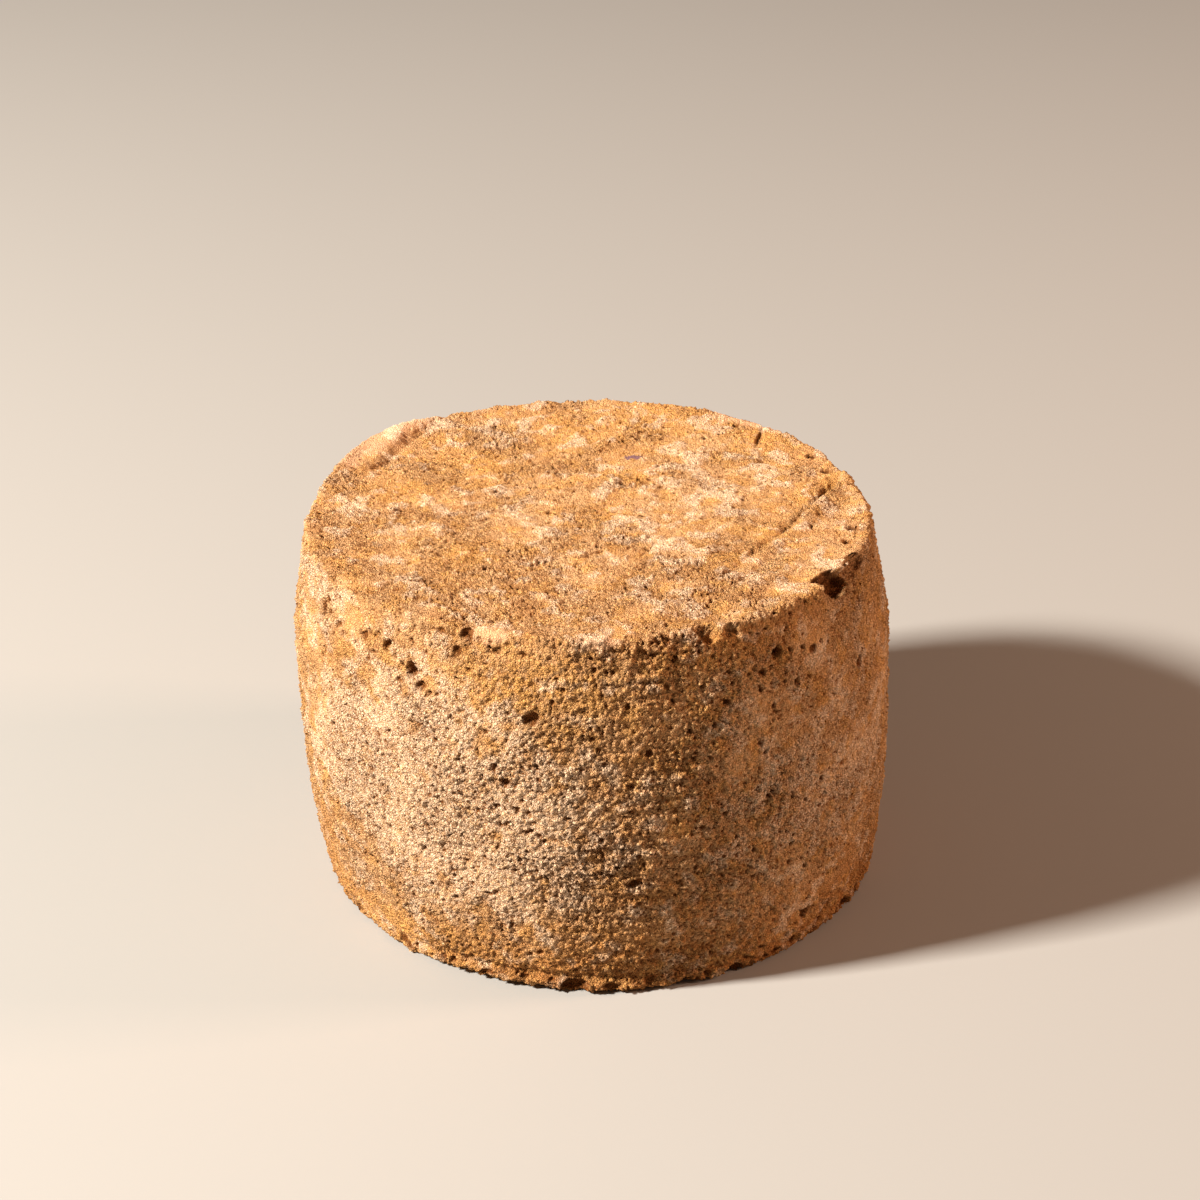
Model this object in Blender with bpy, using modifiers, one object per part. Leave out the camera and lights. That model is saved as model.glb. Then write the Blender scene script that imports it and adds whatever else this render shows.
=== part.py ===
"""A whole cheese wheel with a dry, pitted rind.

The wheel is one solid. Its side swells like a barrel, its top edge is crisp and stands up a little, and its
foot spreads into a ragged flange. The top is slightly hollow, with the creases that the cloth pressed into
it, and the rind has pits, slits and chips. Metres, +Z up. The origin is on the ground under the middle of
the wheel, and its front faces -Y. Azimuths are in degrees, 0 at the front and 90 at +X.
"""
import math
import random
from typing import NamedTuple

import bmesh
import bpy
from mathutils import Euler, Matrix, Vector, noise

MM = 0.001

# Driving dimensions
HEIGHT = 127.5 * MM
WIDEST_RADIUS = 100.0 * MM
SHOULDER_RADIUS = 94.6 * MM
FOOT_RADIUS = 93.9 * MM
BARREL_POWER = 2.7
EDGE_ROUNDING = 2.6 * MM
FLAT_BASE_RADIUS = 86.0 * MM
LEAN = -3.8 * MM

# How finely the wheel is divided
STEPS_ROUND = 90
TOP_RINGS = 11
TOP_RING_CROWDING = 0.72
EDGE_RINGS = 3
SIDE_RINGS = 21
FOOT_RING_HEIGHTS = (7.5 * MM, 5.0 * MM, 2.8 * MM, 1.0 * MM)
MERGE_DISTANCE = 0.01 * MM

# Colour and finish of the rind
RIND_COLOUR = (0.62, 0.37, 0.17, 1.0)
RIND_ROUGHNESS = 0.9

# Swellings and flats of the top edge: azimuth, half width in degrees, and how far out it goes
EDGE_SWELLS = (
    (-99.0, 16.0, -2.2 * MM),
    (-128.0, 14.0, 1.4 * MM),
    (110.0, 16.0, -2.0 * MM),
    (63.0, 7.0, -1.2 * MM),
)
EDGE_SWELL_REACH = 0.30
SWELL_FADE_POWER = 4

# The top: its hollow, its raised lip, the fold at the back left, and the cloth's ridges at the right
TOP_HOLLOW = 1.6 * MM
LIP_RISE = 0.6 * MM
LIP_WIDTH = 3.0 * MM
FOLD_AZIMUTH = -127.0
FOLD_HALF_WIDTH = 20.0
FOLD_RISE = 1.3 * MM
FOLD_BREADTH = 9.0 * MM
RIDGE_MIDDLE = (50.0 * MM, -34.0 * MM)
RIDGE_DIRECTION = -34.0
RIDGE_SPACING = 15.0 * MM
RIDGE_SPREAD = 34.0 * MM
RIDGE_RISE = 0.5 * MM

# The ragged flange of the foot, the groove over it, and the stretch that stands off the ground
FLANGE_AZIMUTH = -10.0
FLANGE_HALF_WIDTH = 34.0
FLANGE_OUT = 2.0 * MM
FLANGE_HEIGHT = 2.4 * MM
FLANGE_THICKNESS = 2.4 * MM
GROOVE_HEIGHT = 6.2 * MM
GROOVE_DEPTH = 0.9 * MM
LIFT_AZIMUTH = -24.0
LIFT_HALF_WIDTH = 14.0
FOOT_LIFT = 0.9 * MM
LIFT_ELSEWHERE = 0.3

# Unevenness of the rind: the size of the lumps, and how far they go in or out
BROAD_LUMPS = (34.0 * MM, 0.9 * MM)
SMALL_LUMPS = (11.0 * MM, 0.45 * MM)
FOOT_LUMPS = (5.0 * MM, 0.9 * MM)
LIFT_LUMPS = (9.0 * MM, 1.0)
TOP_LUMP_SHARE = 0.7


class Pit(NamedTuple):
    """A pit or slit of the side: degrees round, millimetres up, sizes in millimetres, and a turn in degrees."""
    azimuth: float
    height: float
    width: float
    tallness: float
    depth: float
    turn: float


class Crease(NamedTuple):
    """A crease of the top, from one point to another, in millimetres."""
    start: tuple
    end: tuple
    width: float
    depth: float


SIDE_PITS = (
    Pit(-23.0, 126.5, 5.5, 5.0, 2.5, 20),
    Pit(-34.5, 110.3, 5.5, 6.5, 3.2, 15),
    Pit(-32.2, 106.5, 4.2, 3.6, 2.2, -20),
    Pit(-61.2, 114.5, 3.4, 8.0, 2.0, 5),
    Pit(-40.8, 115.4, 3.0, 7.0, 2.0, 45),
    Pit(-47.0, 115.0, 2.8, 5.0, 1.6, 30),
    Pit(-10.5, 102.0, 6.0, 4.6, 2.2, -25),
    Pit(-15.8, 78.8, 3.4, 3.4, 2.2, 0),
    Pit(37.0, 115.1, 5.0, 5.4, 3.4, 0),
    Pit(26.0, 103.3, 3.8, 3.0, 2.4, 0),
    Pit(61.5, 95.7, 5.2, 5.6, 2.0, 0),
    Pit(7.2, 44.0, 6.8, 3.4, 2.0, -15),
    Pit(44.5, 13.7, 5.6, 4.6, 2.4, 0),
    Pit(-4.8, 2.6, 9.5, 5.6, 4.0, 0),
    Pit(27.5, 1.6, 8.0, 3.4, 3.4, 0),
    Pit(61.0, 2.4, 7.0, 4.0, 2.6, 20),
)

EDGE_CHIPS = (
    Pit(56.0, 126.0, 12.0, 10.0, 7.0, 0),
    Pit(63.5, 126.5, 17.0, 6.5, 3.6, 0),
    Pit(22.0, 126.2, 8.0, 8.5, 3.8, 0),
    Pit(76.0, 126.8, 5.0, 3.4, 6.5, 0),
    Pit(83.5, 126.8, 5.0, 3.4, 6.5, 0),
)

TOP_CREASES = (
    Crease((57.0, 66.0), (52.5, 44.0), 4.4, 1.5),
    Crease((82.5, 27.0), (71.7, 6.6), 5.0, 1.7),
    Crease((72.6, 8.0), (62.4, -10.7), 5.0, 1.4),
    Crease((63.4, -9.0), (44.8, -39.1), 5.0, 1.0),
    Crease((-55.5, 74.0), (-64.8, 58.0), 4.6, 1.5),
    Crease((-64.0, 60.0), (-74.0, 40.9), 4.6, 1.6),
    Crease((-73.2, 43.0), (-80.6, 29.5), 4.4, 1.3),
)
CREASE_OVERLAP = 1.15

# The shape of a pit, and the pits of the side that faces away, which are scattered by a rule
PIT_SUBDIVISIONS = 2
PIT_ROUGHNESS = 0.22
PIT_ROUGHNESS_SCALE = 1.7
PIT_VARIETY = 300.0
BACK_PITS = 9
BACK_AZIMUTHS = (95.0, 265.0)
BACK_HEIGHTS = (15.0, 117.0)
BACK_WIDTHS = (3.2, 6.0)
BACK_PROPORTIONS = (0.7, 1.2)
BACK_DEPTH_SHARE = 0.45
BACK_TURNS = (-40.0, 40.0)
SEED = 11


def bell(distance, half_width):
    """A smooth hump: 1 in its middle, and nearly 0 two half widths away."""
    return math.exp(-(distance / half_width) ** 2)


def turn_between(azimuth, other):
    """The turn from one azimuth to another, between -180 and 180 degrees."""
    return (azimuth - other + 180.0) % 360.0 - 180.0


def lumps(point, lump):
    """Uneven swelling of the rind at a point, between about -1 and 1 times the lump's depth."""
    size, depth = lump
    return depth * noise.noise(point / size)


def side_radius(height):
    """Radius of the side at a height above the ground."""
    share = height / HEIGHT
    straight = FOOT_RADIUS + (SHOULDER_RADIUS - FOOT_RADIUS) * share
    belly = WIDEST_RADIUS - (FOOT_RADIUS + SHOULDER_RADIUS) / 2
    return straight + belly * (1 - abs(2 * share - 1) ** BARREL_POWER)


def profile_points():
    """Radius and height of each ring, from the middle of the top, down the side, to the middle of the base."""
    edge_foot = HEIGHT - EDGE_ROUNDING
    top_radius = side_radius(edge_foot) - EDGE_ROUNDING
    points = [(top_radius * (ring / TOP_RINGS) ** TOP_RING_CROWDING, HEIGHT) for ring in range(TOP_RINGS + 1)]
    for ring in range(1, EDGE_RINGS + 1):
        angle = math.radians(90) * ring / EDGE_RINGS
        points.append((top_radius + EDGE_ROUNDING * math.sin(angle), edge_foot + EDGE_ROUNDING * math.cos(angle)))
    side_foot = FOOT_RING_HEIGHTS[0]
    for ring in range(1, SIDE_RINGS):
        height = edge_foot + (side_foot - edge_foot) * ring / SIDE_RINGS
        points.append((side_radius(height), height))
    points += [(side_radius(height), height) for height in FOOT_RING_HEIGHTS]
    points += [(FOOT_RADIUS - FOOT_RING_HEIGHTS[-1], 0.0), (FLAT_BASE_RADIUS, 0.0), (0.0, 0.0)]
    return points


def edge_swell(azimuth, height):
    """How far the upper side goes out or in where the edge is swollen or flattened."""
    near_top = bell(1 - height / HEIGHT, EDGE_SWELL_REACH)
    return near_top * sum(
        out * bell(turn_between(azimuth, centre), half_width) for centre, half_width, out in EDGE_SWELLS
    )


def foot_swell(point, azimuth, height):
    """How far the foot's flange stands out, with the groove above it."""
    here = bell(turn_between(azimuth, FLANGE_AZIMUTH), FLANGE_HALF_WIDTH)
    flange = FLANGE_OUT * bell(height - FLANGE_HEIGHT, FLANGE_THICKNESS)
    groove = GROOVE_DEPTH * bell(height - GROOVE_HEIGHT, FLANGE_THICKNESS / 2)
    return here * (flange - groove) + lumps(point, FOOT_LUMPS) * bell(height, 2 * FLANGE_THICKNESS)


def cloth_ridges(point):
    """The row of low ridges that the cloth left on the right of the top."""
    angle = math.radians(RIDGE_DIRECTION)
    offset = Vector((point.x - RIDGE_MIDDLE[0], point.y - RIDGE_MIDDLE[1]))
    across = offset.x * math.cos(angle) + offset.y * math.sin(angle)
    return RIDGE_RISE * math.cos(math.tau * across / RIDGE_SPACING) * bell(offset.length, RIDGE_SPREAD)


def top_rise(point, azimuth, radius):
    """How far the top stands above or below its plane."""
    from_edge = SHOULDER_RADIUS - EDGE_ROUNDING - radius
    hollow = TOP_HOLLOW * max(0.0, 1 - (radius / SHOULDER_RADIUS) ** 2)
    lip = LIP_RISE * bell(from_edge, LIP_WIDTH)
    fold = FOLD_RISE * bell(turn_between(azimuth, FOLD_AZIMUTH), FOLD_HALF_WIDTH) * bell(from_edge, FOLD_BREADTH)
    uneven = lumps(point, BROAD_LUMPS) + TOP_LUMP_SHARE * lumps(point, SMALL_LUMPS)
    return lip + fold - hollow + uneven + cloth_ridges(point)


def foot_lift(point, azimuth, height):
    """How far the edge of the foot stands off the ground."""
    lifted = bell(turn_between(azimuth, LIFT_AZIMUTH), LIFT_HALF_WIDTH)
    lifted += LIFT_ELSEWHERE * (1 + lumps(point, LIFT_LUMPS))
    return FOOT_LIFT * lifted * max(0.0, 1 - height / FOOT_RING_HEIGHTS[0])


def shaped(point):
    """Where a point of the even, turned wheel lies on the real, uneven one."""
    azimuth = math.degrees(math.atan2(point.x, -point.y))
    radius = math.hypot(point.x, point.y)
    height = point.z
    if height <= 0 and radius <= FLAT_BASE_RADIUS:
        return point.copy()
    out = edge_swell(azimuth, height) + foot_swell(point, azimuth, height)
    out += lumps(point, BROAD_LUMPS) + lumps(point, SMALL_LUMPS)
    out *= (radius / side_radius(height)) ** SWELL_FADE_POWER
    outward = Vector((math.sin(math.radians(azimuth)), -math.cos(math.radians(azimuth)), 0.0))
    moved = point + outward * out
    on_top = max(0.0, 1 - (HEIGHT - height) / EDGE_ROUNDING)
    moved.z += on_top * top_rise(point, azimuth, radius) + foot_lift(point, azimuth, height)
    moved.x += LEAN * height / HEIGHT
    return moved


def turned_body(collection):
    """The wheel as turned from its profile and pushed out of round, before anything is cut from it."""
    profile = bpy.data.meshes.new("profile")
    points = [(radius, 0.0, height) for radius, height in profile_points()]
    profile.from_pydata(points, [(i, i + 1) for i in range(len(points) - 1)], [])
    turned = bpy.data.objects.new("turned_profile", profile)
    collection.objects.link(turned)
    screw = turned.modifiers.new("Turn", "SCREW")
    screw.axis = "Z"
    screw.steps = screw.render_steps = STEPS_ROUND
    screw.use_merge_vertices = True
    screw.merge_threshold = MERGE_DISTANCE
    bpy.context.view_layer.update()
    evaluated = turned.evaluated_get(bpy.context.evaluated_depsgraph_get())
    mesh = bpy.data.meshes.new_from_object(evaluated)
    bpy.data.objects.remove(turned)
    mesh.name = "cheese_wheel"
    for vertex in mesh.vertices:
        vertex.co = shaped(vertex.co)
    mesh.shade_smooth()
    return mesh


def rind_material():
    """Dry, matt, ochre rind."""
    material = bpy.data.materials.new("rind")
    material.use_nodes = True
    shader = material.node_tree.nodes["Principled BSDF"]
    shader.inputs["Base Color"].default_value = RIND_COLOUR
    shader.inputs["Roughness"].default_value = RIND_ROUGHNESS
    shader.inputs["Metallic"].default_value = 0.0
    return material


def side_frame(pit):
    """Place and direction of a pit on the side: local Y points into the wheel, and the turn is about it."""
    angle = math.radians(pit.azimuth)
    height = pit.height * MM
    radius = side_radius(height)
    place = shaped(Vector((radius * math.sin(angle), -radius * math.cos(angle), height)))
    direction = Euler((0.0, 0.0, angle)).to_matrix() @ Euler((0.0, math.radians(pit.turn), 0.0)).to_matrix()
    return Matrix.Translation(place) @ direction.to_4x4()


def crease_frame(crease):
    """Place and direction of a crease on the top: local X runs along it, and local Z points up."""
    middle = (Vector(crease.start) + Vector(crease.end)) / 2 * MM
    run = Vector(crease.end) - Vector(crease.start)
    place = shaped(Vector((middle.x - LEAN, middle.y, HEIGHT)))
    return Matrix.Translation(place) @ Euler((0.0, 0.0, math.atan2(run.y, run.x))).to_matrix().to_4x4()


def back_pits():
    """The pits of the side that faces away."""
    draw = random.Random(SEED)
    for _ in range(BACK_PITS):
        width = draw.uniform(*BACK_WIDTHS)
        tallness = width * draw.uniform(*BACK_PROPORTIONS)
        yield Pit(draw.uniform(*BACK_AZIMUTHS), draw.uniform(*BACK_HEIGHTS), width, tallness,
                  width * BACK_DEPTH_SHARE, draw.uniform(*BACK_TURNS))


def add_cutter(name, sizes, frame, wheel, collection):
    """A rough, stretched ball that is cut from the wheel; sizes are its full extents in millimetres."""
    mesh = bpy.data.meshes.new(name)
    ball = bmesh.new()
    bmesh.ops.create_icosphere(ball, subdivisions=PIT_SUBDIVISIONS, radius=1.0)
    for vertex in ball.verts:
        roughness = noise.noise(vertex.co * PIT_ROUGHNESS_SCALE + frame.translation * PIT_VARIETY)
        vertex.co *= 1 + PIT_ROUGHNESS * roughness
        vertex.co = Vector(vertex.co[axis] * sizes[axis] * MM / 2 for axis in range(3))
    ball.to_mesh(mesh)
    ball.free()
    cutter = bpy.data.objects.new(name, mesh)
    cutter.matrix_world = frame
    cutter.parent = wheel
    cutter.hide_render = True
    cutter.display_type = "WIRE"
    collection.objects.link(cutter)


def cut_pits(wheel, collection):
    """Cut the pits, chips and creases from the wheel with one Boolean."""
    for number, pit in enumerate((*SIDE_PITS, *EDGE_CHIPS, *back_pits())):
        sizes = (pit.width, 2 * pit.depth, pit.tallness)
        add_cutter(f"pit_{number}", sizes, side_frame(pit), wheel, collection)
    for number, crease in enumerate(TOP_CREASES):
        length = (Vector(crease.end) - Vector(crease.start)).length
        sizes = (CREASE_OVERLAP * length, crease.width, 2 * crease.depth)
        add_cutter(f"crease_{number}", sizes, crease_frame(crease), wheel, collection)
    cut = wheel.modifiers.new("Pits", "BOOLEAN")
    cut.operation = "DIFFERENCE"
    cut.operand_type = "COLLECTION"
    cut.collection = collection
    cut.solver = "EXACT"


def centre_on_origin(wheel):
    """Move the wheel so that the middle of its bounding box is over the origin and it stands on the ground."""
    bpy.context.view_layer.update()
    cut_mesh = wheel.evaluated_get(bpy.context.evaluated_depsgraph_get()).data
    places = [vertex.co for vertex in cut_mesh.vertices]
    low = [min(place[axis] for place in places) for axis in range(3)]
    high = [max(place[axis] for place in places) for axis in range(3)]
    wheel.location = (-(low[0] + high[0]) / 2, -(low[1] + high[1]) / 2, -low[2])


def main():
    for item in list(bpy.data.objects):
        bpy.data.objects.remove(item)
    parts = bpy.data.collections.new("cheese wheel")
    cutters = bpy.data.collections.new("cutters")
    for collection in (parts, cutters):
        bpy.context.scene.collection.children.link(collection)
    wheel = bpy.data.objects.new("cheese_wheel", turned_body(parts))
    wheel.data.materials.append(rind_material())
    parts.objects.link(wheel)
    cut_pits(wheel, cutters)
    centre_on_origin(wheel)
    bpy.context.view_layer.update()


main()
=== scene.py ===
"""The cheese wheel's looks: a dry, granular rind with pits, chips, creases and a pale bloom.

The rind is one closed mesh. Its broad form follows the solid that it replaces, and the grain, pits and
flakes are cut into it at their real size. Metres, +Z up. Azimuths are in degrees, 0 at the front (-Y) and
90 at +X.
"""

import math
from typing import NamedTuple

import bpy
import numpy as np
from mathutils import Euler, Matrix, Vector, kdtree, noise


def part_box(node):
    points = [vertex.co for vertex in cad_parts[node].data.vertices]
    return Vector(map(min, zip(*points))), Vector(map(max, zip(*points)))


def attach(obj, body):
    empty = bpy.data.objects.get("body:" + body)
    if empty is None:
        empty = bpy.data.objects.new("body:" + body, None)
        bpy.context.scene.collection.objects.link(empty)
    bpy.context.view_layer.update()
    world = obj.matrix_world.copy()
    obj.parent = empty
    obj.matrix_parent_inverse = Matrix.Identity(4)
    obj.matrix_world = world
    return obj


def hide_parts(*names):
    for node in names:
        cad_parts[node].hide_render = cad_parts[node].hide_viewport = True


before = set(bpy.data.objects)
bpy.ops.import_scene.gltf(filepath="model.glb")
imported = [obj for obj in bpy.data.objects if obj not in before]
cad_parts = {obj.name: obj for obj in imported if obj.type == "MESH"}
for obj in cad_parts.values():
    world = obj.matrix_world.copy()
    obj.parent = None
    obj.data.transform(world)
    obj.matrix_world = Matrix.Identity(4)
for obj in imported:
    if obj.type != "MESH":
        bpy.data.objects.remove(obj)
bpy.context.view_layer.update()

MM = 0.001

# The broad form, as in the solid
HEIGHT = 127.5 * MM
WIDEST_RADIUS = 100.0 * MM
SHOULDER_RADIUS = 94.6 * MM
FOOT_RADIUS = 93.9 * MM
BARREL_POWER = 2.7
EDGE_ROUNDING = 1.9 * MM
FOOT_ROUNDING = 1.0 * MM
FLAT_BASE_RADIUS = 86.0 * MM
LEAN = -3.8 * MM

EDGE_SWELLS = (
    (-99.0, 16.0, -2.2 * MM),
    (-128.0, 14.0, 1.4 * MM),
    (110.0, 16.0, -2.0 * MM),
    (63.0, 7.0, -1.2 * MM),
)
EDGE_SWELL_REACH = 0.30
SWELL_FADE_POWER = 4

TOP_HOLLOW = 1.6 * MM
LIP_RISE = 0.6 * MM
LIP_WIDTH = 3.0 * MM
FOLD_AZIMUTH = -127.0
FOLD_HALF_WIDTH = 20.0
FOLD_RISE = 1.3 * MM
FOLD_BREADTH = 9.0 * MM
RIDGE_MIDDLE = (50.0 * MM, -34.0 * MM)
RIDGE_DIRECTION = -34.0
RIDGE_SPACING = 15.0 * MM
RIDGE_SPREAD = 34.0 * MM
RIDGE_RISE = 0.5 * MM

FLANGE_AZIMUTH = -10.0
FLANGE_HALF_WIDTH = 34.0
FLANGE_OUT = 2.0 * MM
FLANGE_HEIGHT = 2.4 * MM
FLANGE_THICKNESS = 2.4 * MM
GROOVE_HEIGHT = 6.2 * MM
GROOVE_DEPTH = 0.9 * MM
LIFT_AZIMUTH = -24.0
LIFT_HALF_WIDTH = 14.0
FOOT_LIFT = 0.9 * MM
LIFT_ELSEWHERE = 0.3
LIFT_TOP = 7.5 * MM

BROAD_LUMPS = (34.0 * MM, 0.9 * MM)
SMALL_LUMPS = (11.0 * MM, 0.45 * MM)
FOOT_LUMPS = (5.0 * MM, 0.9 * MM)
LIFT_LUMPS = (9.0 * MM, 1.0)
TOP_LUMP_SHARE = 0.7

# The grid of the mesh
COLUMNS = 1248
ROW_SPACING = 0.50 * MM
SIDE_STEPS = 200
EDGE_STEPS = 12
STRIPS = 3
BASE_COLUMNS = COLUMNS // 4
BASE_INSET = 0.97
MAP_GAP = 3.0 * MM

# Grain of the rind: size of the grains and their relief
GRAINS = ((1.2 * MM, 0.82 * MM), (2.3 * MM, 0.74 * MM))
GRAIN_TURN = (0.5, 0.7, 0.4)
GRAIN_WARP = 0.45
GRAIN_GAP = 0.36
GRAIN_DOME = 0.45
LOWEST_GRAIN = 0.25
# Painted shade in the valleys between grains: the grain heights where it is none and where it is full
CREVICE_SHADE_LIMITS = (0.26, 0.0)
ROUGHS = ((5.0 * MM, 0.36 * MM), (1.1 * MM, 0.22 * MM))
TOP_SWELLS = (9.0 * MM, 0.95 * MM)

# How coarse the grain is on the side: everywhere, how much more round a height, and how much it varies
SIDE_RELIEF = 0.95
COARSE_RELIEF = 0.20
COARSE_HEIGHT = 50 * MM
COARSE_REACH = 45 * MM
COARSE_PATCH = (18 * MM, 0.5)
LEAST_RELIEF = 0.25
# The most that coarse grain deepens the painted shade between grains
MOST_CREVICE_SHADE = 1.2

# On the top the grain comes in patches: their size, and the direction they thicken in, to the front left
GRANULE_PATCH = 13.0 * MM
GRANULE_DIRECTION = (-0.5, -0.85)
GRANULE_SPREAD = (-45.0 * MM, 75.0 * MM)
GRANULE_PULL = 0.5
GRANULE_LIMITS = (-0.05, 0.45)
SMOOTH_TOP_RELIEF = 0.66
GRAINY_TOP_RELIEF = 1.10

# Rows that the mould left across the front of the side
ROWS_AZIMUTH = 8.0
ROWS_HALF_WIDTH = 20.0
ROWS_SPACING = 4.4 * MM
ROWS_RELIEF = 0.13 * MM

# Knobs along the top's edge, hollows under them, and crags along the foot
EDGE_KNOBS = (2.8 * MM, 1.1 * MM)
EDGE_BAND = 3.2 * MM
EDGE_STRETCH = 14 * MM
EDGE_STRETCH_LIMITS = (-0.3, 0.5)
EDGE_SMOOTHING = 0.7
RECESS_AZIMUTH = -12.0
RECESS_HALF_WIDTH = 26.0
RECESS_HEIGHT = 124.3 * MM
RECESS_TALLNESS = 1.9 * MM
RECESS_DEPTH = 2.0 * MM
RECESS_ELSEWHERE = 0.12
RECESS_PATCH = 5 * MM
RECESS_LIMITS = (0.05, 0.45)
# Painted shade in the hollows under the top's edge
RECESS_SHADE = 0.4
FOOT_CRAGS = (2.6 * MM, 0.6 * MM)
FOOT_CRAG_HEIGHT = 2 * MM
FOOT_CRAG_REACH = 4 * MM
SEED = 5


class Pit(NamedTuple):
    """A pit of the side: degrees round, millimetres up, sizes in millimetres, and a turn in degrees."""
    azimuth: float
    height: float
    width: float
    tallness: float
    depth: float
    turn: float = 0


class Chip(NamedTuple):
    """A chip of the top's edge: degrees round, millimetres down and in, sizes, a turn, and how much shade is
    painted in it.
    """
    azimuth: float
    down: float
    inset: float
    width: float
    tallness: float
    depth: float
    turn: float
    shade_strength: float


class Crease(NamedTuple):
    """A crease of the top through some points, in millimetres from the wheel's axis; its groove gets painted
    shade.
    """
    route: tuple
    width: float
    depths: tuple
    shoulder: float
    shade_strength: float


class TopPit(NamedTuple):
    """A pit of the top: its place, its width and breadth, its depth in millimetres, and a turn in degrees."""
    across: float
    back: float
    width: float
    breadth: float
    depth: float
    turn: float = 0


LARGE_PITS = (
    Pit(-23.0, 126.5, 4.3, 3.9, 2.5, 20),
    Pit(-34.5, 110.3, 4.3, 5.1, 3.2, 15),
    Pit(-32.2, 106.5, 3.3, 2.8, 2.2, -20),
    Pit(-61.2, 114.5, 2.7, 6.2, 2.0, 5),
    Pit(-40.8, 115.4, 2.3, 5.5, 2.0, 45),
    Pit(-47.0, 115.0, 2.2, 3.9, 1.6, 30),
    Pit(-10.5, 102.0, 4.7, 3.6, 2.2, -25),
    Pit(-15.8, 78.8, 2.7, 2.7, 2.2),
    Pit(37.0, 115.1, 3.9, 4.2, 3.4),
    Pit(26.0, 103.3, 3.0, 2.3, 2.4),
    Pit(61.5, 95.7, 4.1, 4.4, 2.0),
    Pit(7.2, 44.0, 5.3, 2.7, 2.0, -15),
    Pit(44.5, 13.7, 4.4, 3.6, 2.4),
    Pit(-4.8, 2.6, 8.6, 5.0, 4.0),
    Pit(27.5, 1.6, 7.2, 3.1, 3.4),
    Pit(61.0, 2.4, 6.3, 3.6, 2.6, 20),
)

EDGE_CHIPS = (
    Chip(65.5, 2.2, 1.6, 16.0, 6.0, 1.9, 0, 0.10),
    Chip(55.2, 0.8, 4.6, 5.6, 4.2, 4.6, 0, 1.00),
    Chip(57.4, 2.6, 1.9, 15.0, 8.2, 6.0, 4, 1.00),
    Chip(28.0, 2.6, 0.4, 6.0, 5.6, 1.2, 0, 0.0),
    Chip(23.4, 1.8, 1.2, 7.6, 5.8, 2.8, 12, 0.0),
    Chip(13.5, 1.0, 0.8, 3.0, 2.6, 1.6, 0, 0.10),
)
CHIP_SLANT = 44.0
CHIP_LOBES = 2
PIT_LOBES = 4
LOBE_PLACE = 0.75
LOBE_SIZES = (0.35, 0.6)

TOP_PITS = (
    TopPit(88.4, -12.3, 5.8, 4.6, 3.6),
    TopPit(85.2, -22.6, 4.4, 5.8, 3.6, 20),
    TopPit(-1.7, -32.6, 5.4, 1.6, 0.9, 20),
    TopPit(3.9, -27.3, 4.6, 1.6, 0.9, 35),
    TopPit(-13.1, 2.6, 2.2, 2.6, 1.3),
    TopPit(23.6, -89.0, 3.0, 3.0, 2.0),
    TopPit(62.0, 70.0, 2.6, 5.0, 2.0, 20),
    TopPit(52.0, 72.5, 2.6, 2.6, 1.6),
    TopPit(78.0, 45.5, 3.0, 3.6, 1.8),
    TopPit(83.2, 33.5, 4.6, 3.8, 2.2, -20),
    TopPit(45.5, 49.0, 2.6, 1.6, 1.0, 20),
    TopPit(48.6, 50.0, 2.2, 1.4, 1.0),
    TopPit(45.4, 31.0, 2.4, 1.4, 0.9),
)

# Pits of 1.5 to 3.5 mm that stand out on the shown side
SMALL_PITS = (
    Pit(-28.5, 125.6, 3.0, 2.6, 1.4),
    Pit(-25.0, 120.5, 3.0, 3.4, 1.8, 30),
    Pit(-37.2, 105.9, 2.8, 1.7, 1.3),
    Pit(-60.2, 118.6, 2.4, 2.6, 1.2),
    Pit(-55.0, 113.6, 3.0, 2.0, 1.3),
    Pit(-53.8, 111.4, 1.8, 2.0, 1.2),
    Pit(-60.8, 98.8, 1.8, 2.0, 1.2),
    Pit(15.0, 125.8, 3.0, 2.8, 1.6),
    Pit(46.2, 111.3, 3.2, 3.0, 1.2),
    Pit(40.2, 114.2, 1.9, 2.6, 1.3),
    Pit(33.5, 110.0, 2.4, 2.6, 1.6),
    Pit(41.2, 103.3, 2.0, 3.2, 1.6),
    Pit(23.2, 96.6, 1.8, 1.8, 1.3),
    Pit(21.2, 110.0, 1.6, 1.6, 1.2),
    Pit(32.2, 86.1, 1.8, 1.6, 1.2),
    Pit(33.2, 82.6, 1.8, 1.6, 1.2),
    Pit(24.5, 64.7, 2.4, 1.8, 1.4),
    Pit(20.0, 61.5, 1.8, 1.6, 1.2),
    Pit(47.0, 64.4, 1.6, 1.8, 1.2),
    Pit(54.0, 65.0, 1.6, 1.8, 1.2),
    Pit(7.0, 106.5, 2.2, 2.0, 1.6, 35),
    Pit(6.5, 99.8, 2.0, 1.8, 1.5),
    Pit(10.5, 89.9, 2.6, 2.2, 1.8),
    Pit(0.2, 96.0, 1.8, 1.6, 1.3),
    Pit(7.2, 78.8, 2.0, 1.6, 1.3),
    Pit(-4.5, 67.9, 2.2, 1.2, 1.2),
    Pit(-20.0, 36.7, 3.4, 1.2, 1.2),
    Pit(-11.0, 15.9, 2.0, 2.0, 1.4),
    Pit(50.5, 5.7, 2.4, 2.0, 1.4),
    Pit(33.8, 7.0, 4.0, 1.4, 1.4, 20),
    Pit(2.2, 3.0, 4.4, 2.2, 1.8),
)

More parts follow.
